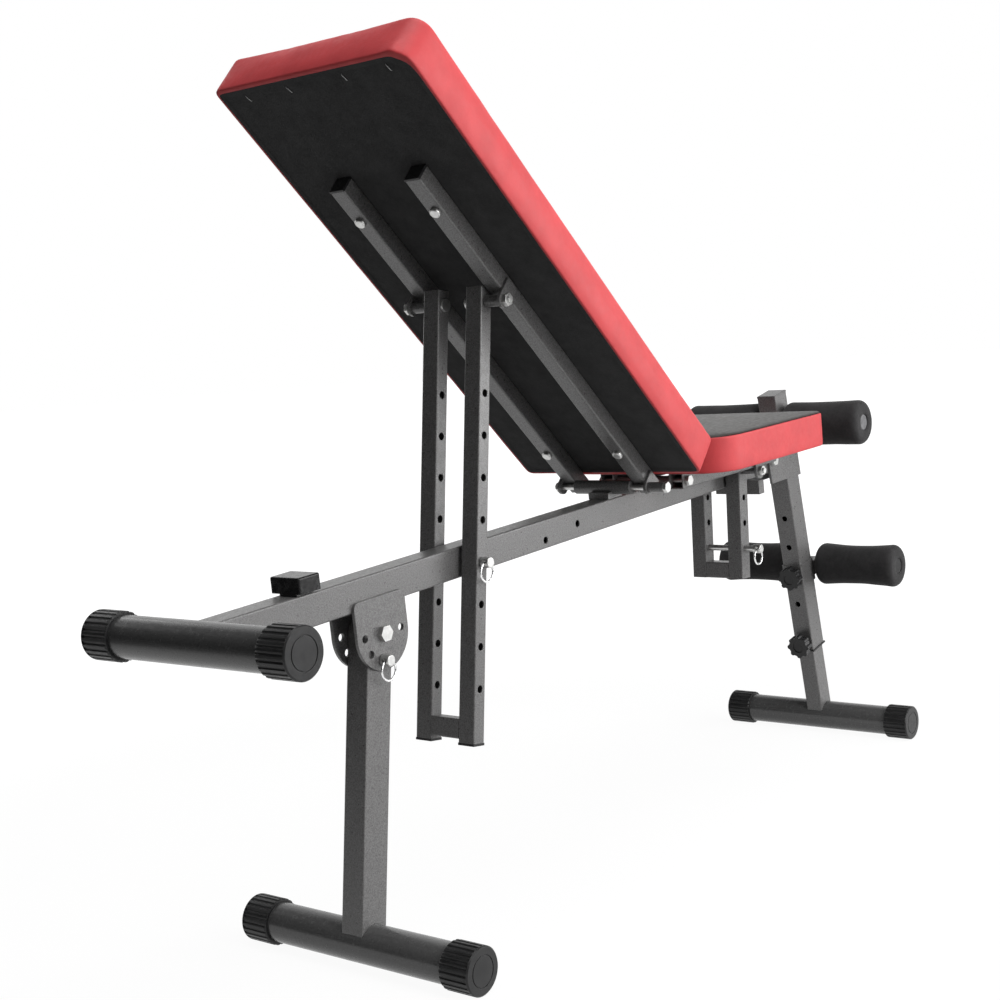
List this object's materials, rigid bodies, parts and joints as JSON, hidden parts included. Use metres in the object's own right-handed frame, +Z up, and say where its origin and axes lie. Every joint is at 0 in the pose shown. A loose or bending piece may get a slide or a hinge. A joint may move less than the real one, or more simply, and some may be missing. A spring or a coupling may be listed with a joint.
{
  "type": "adjustable weight bench",
  "caption": "Folding weight bench: sloping main beam on splayed legs, hinged backrest and seat held by pinned ladders, and foam leg rollers on a front upright.",
  "frame": {"origin": "on the floor under the middle of the bench's outline", "axes": "+X from the rear cross tube to the leg rollers, +Z up, the lock pins on the -Y side"},
  "size_m": [1.399, 0.342, 1.0269],
  "materials": {
    "grey_paint": "hammertone paint, satin",
    "tube_paint": "dark grey paint, semi-gloss",
    "black_plastic": "moulded, satin",
    "roller_plug": "grey moulded plug",
    "black_rubber": "matte",
    "zinc": "zinc plated",
    "ring_steel": "bright wire",
    "black_foam": "closed-cell foam, matte",
    "red_vinyl": "coral red vinyl, seat and back faces dark",
    "board_cloth": "black nonwoven dust cover on board"
  },
  "bodies": {
    "frame": {"main_beam": "grey_paint", "rear_cross_tube": "tube_paint", "rear_cross_sleeves": "black_plastic", "rear_bracket_plates": "grey_paint", "rear_pivot_bolt": "zinc", "stop_post": "grey_paint", "stop_cap": "black_rubber", "hinge_saddle": "grey_paint", "hinge_hub": "grey_paint", "seat_pivot_bolt": "zinc", "beam_bolts": "zinc", "front_bracket_plates": "grey_paint", "guide_lugs": "grey_paint", "seat_stop": "black_rubber", "front_upright": "grey_paint", "upright_cap": "grey_paint", "upper_axle": "zinc"},
    "rear_leg_unit": {"rear_leg": "grey_paint", "rear_foot_tube": "tube_paint", "rear_foot_sleeves": "black_plastic"},
    "rear_pin": {"rear_lock_pin": "zinc", "rear_pin_ring": "ring_steel"},
    "backrest": {"backrest_pad": "red_vinyl", "backrest_board": "board_cloth", "backrest_rails": "grey_paint", "rail_plugs": "black_plastic", "backrest_lugs": "grey_paint", "backrest_pad_bolts": "zinc", "hinge_bolt": "zinc", "ladder_bolts": "zinc"},
    "ladder": {"ladder_posts": "grey_paint", "ladder_cross_bar": "grey_paint", "ladder_plugs": "black_plastic"},
    "ladder_pin": {"ladder_lock_pin": "zinc", "ladder_pin_ring": "ring_steel"},
    "seat": {"seat_pad": "red_vinyl", "seat_board": "board_cloth", "seat_rails": "grey_paint", "seat_cross_plate": "grey_paint", "seat_lugs": "grey_paint", "seat_ladder_bolts": "zinc"},
    "seat_ladder": {"seat_ladder_posts": "grey_paint", "seat_ladder_bar": "grey_paint"},
    "seat_pin": {"seat_lock_pin": "zinc", "seat_pin_ring": "ring_steel"},
    "front_leg_unit": {"lower_leg": "grey_paint", "front_foot_tube": "tube_paint", "front_foot_sleeves": "black_plastic"},
    "leg_knob": {"leg_knob": "black_plastic"},
    "carriage": {"roller_carriage": "grey_paint", "lower_axle": "zinc"},
    "carriage_knob": {"roller_knob": "black_plastic"},
    "upper_near": {"upper_roller_foam_near": "black_foam", "upper_roller_core_near": "roller_plug"},
    "upper_far": {"upper_roller_foam_far": "black_foam", "upper_roller_core_far": "roller_plug"},
    "lower_near": {"lower_roller_foam_near": "black_foam", "lower_roller_core_near": "black_plastic"},
    "lower_far": {"lower_roller_foam_far": "black_foam", "lower_roller_core_far": "black_plastic"}
  },
  "joints": [
    {"name": "backrest_tilt", "type": "hinge", "parent": "frame", "child": "backrest", "pos_m": [0.06373, 0, 0.48181], "axis": [0, 1, 0], "range_deg": [-46.7, 22]},
    {"name": "ladder_swing", "type": "hinge", "parent": "backrest", "child": "ladder", "pos_m": [-0.2264, 0, 0.73496], "axis": [0, 1, 0], "range_deg": [-4, 6]},
    {"name": "ladder_pin_pull", "type": "slide", "parent": "ladder", "child": "ladder_pin", "axis": [0, -1, 0], "range_m": [0, 0.04]},
    {"name": "rear_leg_fold", "type": "hinge", "parent": "frame", "child": "rear_leg_unit", "pos_m": [-0.42103, 0, 0.3714], "axis": [0, 1, 0], "range_deg": [-34, 78.9]},
    {"name": "rear_pin_pull", "type": "slide", "parent": "frame", "child": "rear_pin", "axis": [0, -1, 0], "range_m": [0, 0.03]},
    {"name": "seat_tilt", "type": "hinge", "parent": "frame", "child": "seat", "pos_m": [0.16801, 0, 0.47989], "axis": [0, -1, 0], "range_deg": [0, 12]},
    {"name": "seat_ladder_swing", "type": "hinge", "parent": "seat", "child": "seat_ladder", "pos_m": [0.37141, 0, 0.47275], "axis": [0, -1, 0], "range_deg": [-13, 1]},
    {"name": "seat_pin_pull", "type": "slide", "parent": "seat_ladder", "child": "seat_pin", "axis": [0, -1, 0], "range_m": [0, 0.1]},
    {"name": "lower_leg_slide", "type": "slide", "parent": "frame", "child": "front_leg_unit", "axis": [-0.2096, 0, 0.9778], "range_m": [-0.06, 0.08]},
    {"name": "leg_knob_turn", "type": "hinge", "parent": "frame", "child": "leg_knob", "pos_m": [0.6433, 0, 0.1632], "axis": [0.9778, 0, 0.2096], "continuous": true},
    {"name": "carriage_slide", "type": "slide", "parent": "frame", "child": "carriage", "axis": [-0.2096, 0, 0.9778], "range_m": [-0.05, 0.1]},
    {"name": "carriage_knob_turn", "type": "hinge", "parent": "carriage", "child": "carriage_knob", "pos_m": [0.61844, 0, 0.27917], "axis": [0.9778, 0, 0.2096], "continuous": true},
    {"name": "upper_near_spin", "type": "hinge", "parent": "frame", "child": "upper_near", "pos_m": [0.56507, 0, 0.52811], "axis": [0, 1, 0], "continuous": true},
    {"name": "upper_far_spin", "type": "hinge", "parent": "frame", "child": "upper_far", "pos_m": [0.56507, 0, 0.52811], "axis": [0, 1, 0], "continuous": true},
    {"name": "lower_near_spin", "type": "hinge", "parent": "carriage", "child": "lower_near", "pos_m": [0.65951, 0, 0.28797], "axis": [0, 1, 0], "continuous": true},
    {"name": "lower_far_spin", "type": "hinge", "parent": "carriage", "child": "lower_far", "pos_m": [0.65951, 0, 0.28797], "axis": [0, 1, 0], "continuous": true}
  ],
  "couplings": [
    {"joint": "ladder_swing", "follows": "backrest_tilt", "ratio": -0.1},
    {"joint": "seat_ladder_swing", "follows": "seat_tilt", "ratio": -1}
  ]
}
